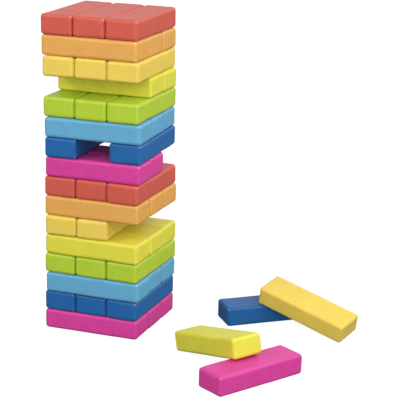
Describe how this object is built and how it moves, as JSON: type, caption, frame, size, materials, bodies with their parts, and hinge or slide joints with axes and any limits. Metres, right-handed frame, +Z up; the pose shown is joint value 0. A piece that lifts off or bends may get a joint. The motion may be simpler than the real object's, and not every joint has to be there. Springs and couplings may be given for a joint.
{
  "type": "giant tumbling tower",
  "caption": "Stacking game of rounded painted wooden blocks in crossed layers of three, with some drawn out of the tower and lying beside it.",
  "frame": {"origin": "on the ground, at the middle of the tower's footprint", "axes": "+X to the right along the front face, +Y to the back, +Z up"},
  "size_m": [0.5382, 0.4665, 0.5767],
  "materials": {
    "paint_magenta": "satin paint on sanded wood",
    "paint_dark_blue": "satin paint on sanded wood",
    "paint_light_blue": "satin paint on sanded wood",
    "paint_green": "satin paint on sanded wood",
    "paint_chartreuse": "satin paint on sanded wood",
    "paint_gold": "satin paint on sanded wood",
    "paint_orange": "satin paint on sanded wood",
    "paint_red": "satin paint on sanded wood"
  },
  "bodies": {
    "layer_01_magenta_front": {"layer_01_magenta_front": "paint_magenta"},
    "layer_01_magenta_middle": {"layer_01_magenta_middle": "paint_magenta"},
    "layer_01_magenta_rear": {"layer_01_magenta_rear": "paint_magenta"},
    "layer_02_dark_blue_left": {"layer_02_dark_blue_left": "paint_dark_blue"},
    "layer_02_dark_blue_middle": {"layer_02_dark_blue_middle": "paint_dark_blue"},
    "layer_02_dark_blue_right": {"layer_02_dark_blue_right": "paint_dark_blue"},
    "layer_03_light_blue_front": {"layer_03_light_blue_front": "paint_light_blue"},
    "layer_03_light_blue_middle": {"layer_03_light_blue_middle": "paint_light_blue"},
    "layer_03_light_blue_rear": {"layer_03_light_blue_rear": "paint_light_blue"},
    "layer_04_green_left": {"layer_04_green_left": "paint_green"},
    "layer_04_green_middle": {"layer_04_green_middle": "paint_green"},
    "layer_04_green_right": {"layer_04_green_right": "paint_green"},
    "layer_05_chartreuse_front": {"layer_05_chartreuse_front": "paint_chartreuse"},
    "layer_05_chartreuse_middle": {"layer_05_chartreuse_middle": "paint_chartreuse"},
    "layer_05_chartreuse_rear": {"layer_05_chartreuse_rear": "paint_chartreuse"},
    "layer_06_gold_left": {"layer_06_gold_left": "paint_gold"},
    "layer_06_gold_middle": {"layer_06_gold_middle": "paint_gold"},
    "layer_07_orange_front": {"layer_07_orange_front": "paint_orange"},
    "layer_07_orange_middle": {"layer_07_orange_middle": "paint_orange"},
    "layer_07_orange_rear": {"layer_07_orange_rear": "paint_orange"},
    "layer_08_red_left": {"layer_08_red_left": "paint_red"},
    "layer_08_red_middle": {"layer_08_red_middle": "paint_red"},
    "layer_08_red_right": {"layer_08_red_right": "paint_red"},
    "layer_09_magenta_front": {"layer_09_magenta_front": "paint_magenta"},
    "layer_09_magenta_middle": {"layer_09_magenta_middle": "paint_magenta"},
    "layer_10_dark_blue_left": {"layer_10_dark_blue_left": "paint_dark_blue"},
    "layer_10_dark_blue_right": {"layer_10_dark_blue_right": "paint_dark_blue"},
    "layer_11_light_blue_front": {"layer_11_light_blue_front": "paint_light_blue"},
    "layer_11_light_blue_middle": {"layer_11_light_blue_middle": "paint_light_blue"},
    "layer_11_light_blue_rear": {"layer_11_light_blue_rear": "paint_light_blue"},
    "layer_12_green_left": {"layer_12_green_left": "paint_green"},
    "layer_12_green_middle": {"layer_12_green_middle": "paint_green"},
    "layer_12_green_right": {"layer_12_green_right": "paint_green"},
    "layer_13_chartreuse_middle": {"layer_13_chartreuse_middle": "paint_chartreuse"},
    "layer_13_chartreuse_rear": {"layer_13_chartreuse_rear": "paint_chartreuse"},
    "layer_14_gold_left": {"layer_14_gold_left": "paint_gold"},
    "layer_14_gold_middle": {"layer_14_gold_middle": "paint_gold"},
    "layer_14_gold_right": {"layer_14_gold_right": "paint_gold"},
    "layer_15_orange_front": {"layer_15_orange_front": "paint_orange"},
    "layer_15_orange_middle": {"layer_15_orange_middle": "paint_orange"},
    "layer_15_orange_rear": {"layer_15_orange_rear": "paint_orange"},
    "layer_16_red_left": {"layer_16_red_left": "paint_red"},
    "layer_16_red_middle": {"layer_16_red_middle": "paint_red"},
    "layer_16_red_right": {"layer_16_red_right": "paint_red"},
    "drawn_dark_blue": {"drawn_dark_blue": "paint_dark_blue"},
    "drawn_gold_leaning": {"drawn_gold_leaning": "paint_gold"},
    "drawn_magenta": {"drawn_magenta": "paint_magenta"},
    "drawn_chartreuse_leaning": {"drawn_chartreuse_leaning": "paint_chartreuse"}
  },
  "joints": [
    {"name": "pull_01_magenta_front", "type": "slide", "parent": "layer_01_magenta_middle", "child": "layer_01_magenta_front", "axis": [-1, -0.0052, 0], "range_m": [-0.07, 0.184]},
    {"name": "pull_01_magenta_rear", "type": "slide", "parent": "layer_01_magenta_middle", "child": "layer_01_magenta_rear", "axis": [-1, -0.0052, 0], "range_m": [-0.075, 0.184]},
    {"name": "pull_02_dark_blue_left", "type": "slide", "parent": "layer_01_magenta_middle", "child": "layer_02_dark_blue_left", "axis": [0.0087, 1, 0], "range_m": [-0.184, 0.184]},
    {"name": "pull_02_dark_blue_middle", "type": "slide", "parent": "layer_01_magenta_middle", "child": "layer_02_dark_blue_middle", "axis": [0.0087, 1, 0], "range_m": [-0.184, 0.184]},
    {"name": "pull_02_dark_blue_right", "type": "slide", "parent": "layer_01_magenta_middle", "child": "layer_02_dark_blue_right", "axis": [0.0087, 1, 0], "range_m": [-0.184, 0.184]},
    {"name": "pull_03_light_blue_front", "type": "slide", "parent": "layer_01_magenta_middle", "child": "layer_03_light_blue_front", "axis": [-1, 0.0052, 0], "range_m": [-0.184, 0.184]},
    {"name": "pull_03_light_blue_middle", "type": "slide", "parent": "layer_01_magenta_middle", "child": "layer_03_light_blue_middle", "axis": [-1, 0.0052, 0], "range_m": [-0.184, 0.184]},
    {"name": "pull_03_light_blue_rear", "type": "slide", "parent": "layer_01_magenta_middle", "child": "layer_03_light_blue_rear", "axis": [-1, 0.0052, 0], "range_m": [-0.17, 0.184]},
    {"name": "pull_04_green_left", "type": "slide", "parent": "layer_01_magenta_middle", "child": "layer_04_green_left", "axis": [0.0279, 0.9996, 0], "range_m": [-0.184, 0.184]},
    {"name": "pull_04_green_middle", "type": "slide", "parent": "layer_01_magenta_middle", "child": "layer_04_green_middle", "axis": [0.0279, 0.9996, 0], "range_m": [-0.184, 0.184]},
    {"name": "pull_04_green_right", "type": "slide", "parent": "layer_01_magenta_middle", "child": "layer_04_green_right", "axis": [0.0279, 0.9996, 0], "range_m": [-0.184, 0.184]},
    {"name": "pull_05_chartreuse_front", "type": "slide", "parent": "layer_01_magenta_middle", "child": "layer_05_chartreuse_front", "axis": [-0.9997, 0.0262, 0], "range_m": [-0.184, 0.184]},
    {"name": "pull_05_chartreuse_middle", "type": "slide", "parent": "layer_01_magenta_middle", "child": "layer_05_chartreuse_middle", "axis": [-0.9997, 0.0262, 0], "range_m": [-0.184, 0.184]},
    {"name": "pull_05_chartreuse_rear", "type": "slide", "parent": "layer_01_magenta_middle", "child": "layer_05_chartreuse_rear", "axis": [-0.9997, 0.0262, 0], "range_m": [-0.184, 0.184]},
    {"name": "pull_06_gold_left", "type": "slide", "parent": "layer_01_magenta_middle", "child": "layer_06_gold_left", "axis": [-0.0349, 0.9994, 0], "range_m": [-0.184, 0.184]},
    {"name": "pull_06_gold_middle", "type": "slide", "parent": "layer_01_magenta_middle", "child": "layer_06_gold_middle", "axis": [-0.0349, 0.9994, 0], "range_m": [-0.184, 0.184]},
    {"name": "pull_07_orange_front", "type": "slide", "parent": "layer_01_magenta_middle", "child": "layer_07_orange_front", "axis": [-0.9999, 0.0122, 0], "range_m": [-0.184, 0.184]},
    {"name": "pull_07_orange_middle", "type": "slide", "parent": "layer_01_magenta_middle", "child": "layer_07_orange_middle", "axis": [-0.9999, 0.0122, 0], "range_m": [-0.184, 0.184]},
    {"name": "pull_07_orange_rear", "type": "slide", "parent": "layer_01_magenta_middle", "child": "layer_07_orange_rear", "axis": [-0.9999, 0.0122, 0], "range_m": [-0.184, 0.184]},
    {"name": "pull_08_red_left", "type": "slide", "parent": "layer_01_magenta_middle", "child": "layer_08_red_left", "axis": [0.014, 0.9999, 0], "range_m": [-0.184, 0.184]},
    {"name": "pull_08_red_middle", "type": "slide", "parent": "layer_01_magenta_middle", "child": "layer_08_red_middle", "axis": [0.014, 0.9999, 0], "range_m": [-0.184, 0.184]},
    {"name": "pull_08_red_right", "type": "slide", "parent": "layer_01_magenta_middle", "child": "layer_08_red_right", "axis": [0.014, 0.9999, 0], "range_m": [-0.184, 0.184]},
    {"name": "pull_09_magenta_front", "type": "slide", "parent": "layer_01_magenta_middle", "child": "layer_09_magenta_front", "axis": [-1, -0.0087, 0], "range_m": [-0.184, 0.184]},
    {"name": "pull_09_magenta_middle", "type": "slide", "parent": "layer_01_magenta_middle", "child": "layer_09_magenta_middle", "axis": [-1, -0.0087, 0], "range_m": [-0.184, 0.184]},
    {"name": "pull_10_dark_blue_left", "type": "slide", "parent": "layer_01_magenta_middle", "child": "layer_10_dark_blue_left", "axis": [-0.0332, 0.9995, 0], "range_m": [-0.184, 0.184]},
    {"name": "pull_10_dark_blue_right", "type": "slide", "parent": "layer_01_magenta_middle", "child": "layer_10_dark_blue_right", "axis": [-0.0332, 0.9995, 0], "range_m": [-0.184, 0.184]},
    {"name": "pull_11_light_blue_front", "type": "slide", "parent": "layer_01_magenta_middle", "child": "layer_11_light_blue_front", "axis": [-0.9995, -0.0314, 0], "range_m": [-0.184, 0.184]},
    {"name": "pull_11_light_blue_middle", "type": "slide", "parent": "layer_01_magenta_middle", "child": "layer_11_light_blue_middle", "axis": [-0.9995, -0.0314, 0], "range_m": [-0.184, 0.184]},
    {"name": "pull_11_light_blue_rear", "type": "slide", "parent": "layer_01_magenta_middle", "child": "layer_11_light_blue_rear", "axis": [-0.9995, -0.0314, 0], "range_m": [-0.184, 0.184]},
    {"name": "pull_12_green_left", "type": "slide", "parent": "layer_01_magenta_middle", "child": "layer_12_green_left", "axis": [-0.0035, 1, 0], "range_m": [-0.184, 0.184]},
    {"name": "pull_12_green_middle", "type": "slide", "parent": "layer_01_magenta_middle", "child": "layer_12_green_middle", "axis": [-0.0035, 1, 0], "range_m": [-0.184, 0.184]},
    {"name": "pull_12_green_right", "type": "slide", "parent": "layer_01_magenta_middle", "child": "layer_12_green_right", "axis": [-0.0035, 1, 0], "range_m": [-0.184, 0.184]},
    {"name": "pull_13_chartreuse_middle", "type": "slide", "parent": "layer_01_magenta_middle", "child": "layer_13_chartreuse_middle", "axis": [-1, 0, 0], "range_m": [-0.184, 0.184]},
    {"name": "pull_13_chartreuse_rear", "type": "slide", "parent": "layer_01_magenta_middle", "child": "layer_13_chartreuse_rear", "axis": [-1, 0, 0], "range_m": [-0.184, 0.184]},
    {"name": "pull_14_gold_left", "type": "slide", "parent": "layer_01_magenta_middle", "child": "layer_14_gold_left", "axis": [-0.014, 0.9999, 0], "range_m": [-0.184, 0.184]},
    {"name": "pull_14_gold_middle", "type": "slide", "parent": "layer_01_magenta_middle", "child": "layer_14_gold_middle", "axis": [-0.014, 0.9999, 0], "range_m": [-0.184, 0.184]},
    {"name": "pull_14_gold_right", "type": "slide", "parent": "layer_01_magenta_middle", "child": "layer_14_gold_right", "axis": [-0.014, 0.9999, 0], "range_m": [-0.184, 0.184]},
    {"name": "pull_15_orange_front", "type": "slide", "parent": "layer_01_magenta_middle", "child": "layer_15_orange_front", "axis": [-0.9999, 0.014, 0], "range_m": [-0.184, 0.184]},
    {"name": "pull_15_orange_middle", "type": "slide", "parent": "layer_01_magenta_middle", "child": "layer_15_orange_middle", "axis": [-0.9999, 0.014, 0], "range_m": [-0.184, 0.184]},
    {"name": "pull_15_orange_rear", "type": "slide", "parent": "layer_01_magenta_middle", "child": "layer_15_orange_rear", "axis": [-0.9999, 0.014, 0], "range_m": [-0.184, 0.184]},
    {"name": "lift_16_red_left", "type": "slide", "parent": "layer_01_magenta_middle", "child": "layer_16_red_left", "axis": [0, 0, 1], "range_m": [0, 0.12]},
    {"name": "lift_16_red_middle", "type": "slide", "parent": "layer_01_magenta_middle", "child": "layer_16_red_middle", "axis": [0, 0, 1], "range_m": [0, 0.12]},
    {"name": "lift_16_red_right", "type": "slide", "parent": "layer_01_magenta_middle", "child": "layer_16_red_right", "axis": [0, 0, 1], "range_m": [0, 0.12]},
    {"name": "lift_drawn_dark_blue", "type": "slide", "parent": "layer_01_magenta_middle", "child": "drawn_dark_blue", "axis": [0, 0, 1], "range_m": [0, 0.2]},
    {"name": "lift_drawn_magenta", "type": "slide", "parent": "layer_01_magenta_middle", "child": "drawn_magenta", "axis": [0, 0, 1], "range_m": [0, 0.2]},
    {"name": "lift_drawn_gold_leaning", "type": "slide", "parent": "drawn_dark_blue", "child": "drawn_gold_leaning", "axis": [0, 0, 1], "range_m": [0, 0.15]},
    {"name": "lift_drawn_chartreuse_leaning", "type": "slide", "parent": "drawn_magenta", "child": "drawn_chartreuse_leaning", "axis": [0, 0, 1], "range_m": [0, 0.15]}
  ]
}
